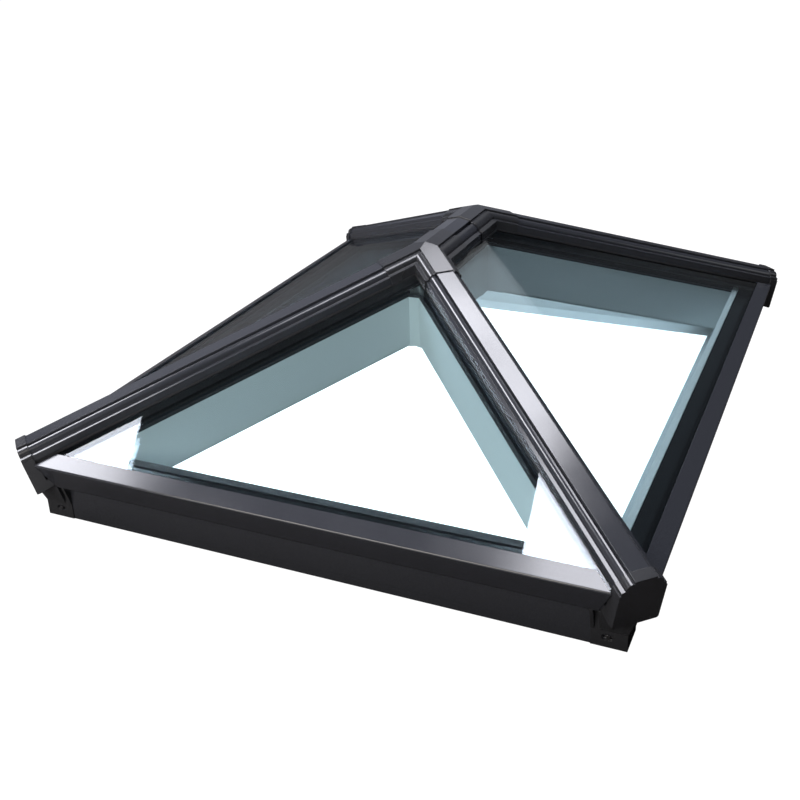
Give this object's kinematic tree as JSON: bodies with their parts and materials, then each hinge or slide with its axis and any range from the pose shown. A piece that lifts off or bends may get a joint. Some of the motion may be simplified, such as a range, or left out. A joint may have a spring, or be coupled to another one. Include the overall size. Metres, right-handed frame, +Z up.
{
  "type": "roof lantern",
  "caption": "Fixed hipped roof lantern: sealed glass panes on hollow rafters, with moulded hip and ridge caps, boss caps, hooded end caps and an insulated ring beam.",
  "frame": {"origin": "centre of the ring beam in plan, on its underside", "axes": "+Y along the ridge towards the back hip end, +X to the right seen from the front hip end, +Z up"},
  "size_m": [1.0956, 1.3456, 0.3871],
  "materials": {
    "frame": "satin powder coat, anthracite",
    "cover": "satin powder coat, anthracite",
    "trim": "satin powder coat, white",
    "hub": "as cast",
    "glass": "clear",
    "seal": "matt black sealant",
    "insulation": "matt foam",
    "rubber": "matt black",
    "block": "matt",
    "steel": "brushed"
  },
  "bodies": {
    "root": {"boss_cap_back": "cover", "boss_cap_front": "cover", "boss_hub_back": "hub", "boss_hub_front": "hub", "boss_trim_back": "trim", "boss_trim_front": "trim", "corner_cover_back_left": "cover", "corner_cover_back_right": "cover", "corner_cover_front_left": "cover", "corner_cover_front_right": "cover", "eaves_beam_back": "frame", "eaves_beam_front": "frame", "eaves_beam_left": "frame", "eaves_beam_right": "frame", "eaves_cap_back": "frame", "eaves_cap_front": "frame", "eaves_cap_left": "frame", "eaves_cap_right": "frame", "eaves_insulation_back": "insulation", "eaves_insulation_front": "insulation", "eaves_insulation_left": "insulation", "eaves_insulation_right": "insulation", "eaves_trim_back": "trim", "eaves_trim_front": "trim", "eaves_trim_left": "trim", "eaves_trim_right": "trim", "edge_seal_back": "seal", "edge_seal_front": "seal", "edge_seal_left": "seal", "edge_seal_right": "seal", "end_cap_back_left": "cover", "end_cap_back_right": "cover", "end_cap_front_left": "cover", "end_cap_front_right": "cover", "fixings": "steel", "glass_inner_back": "glass", "glass_inner_front": "glass", "glass_inner_left": "glass", "glass_inner_right": "glass", "glass_outer_back": "glass", "glass_outer_front": "glass", "glass_outer_left": "glass", "glass_outer_right": "glass", "glazing_rubbers": "rubber", "hip_cap_back_left": "frame", "hip_cap_back_right": "frame", "hip_cap_front_left": "frame", "hip_cap_front_right": "frame", "hip_trim_back_left": "trim", "hip_trim_back_right": "trim", "hip_trim_front_left": "trim", "hip_trim_front_right": "trim", "rafter_back_left": "frame", "rafter_back_right": "frame", "rafter_front_left": "frame", "rafter_front_right": "frame", "ridge_beam": "frame", "ridge_cap": "frame", "ridge_trim": "trim", "setting_blocks": "block"}
  },
  "joints": []
}
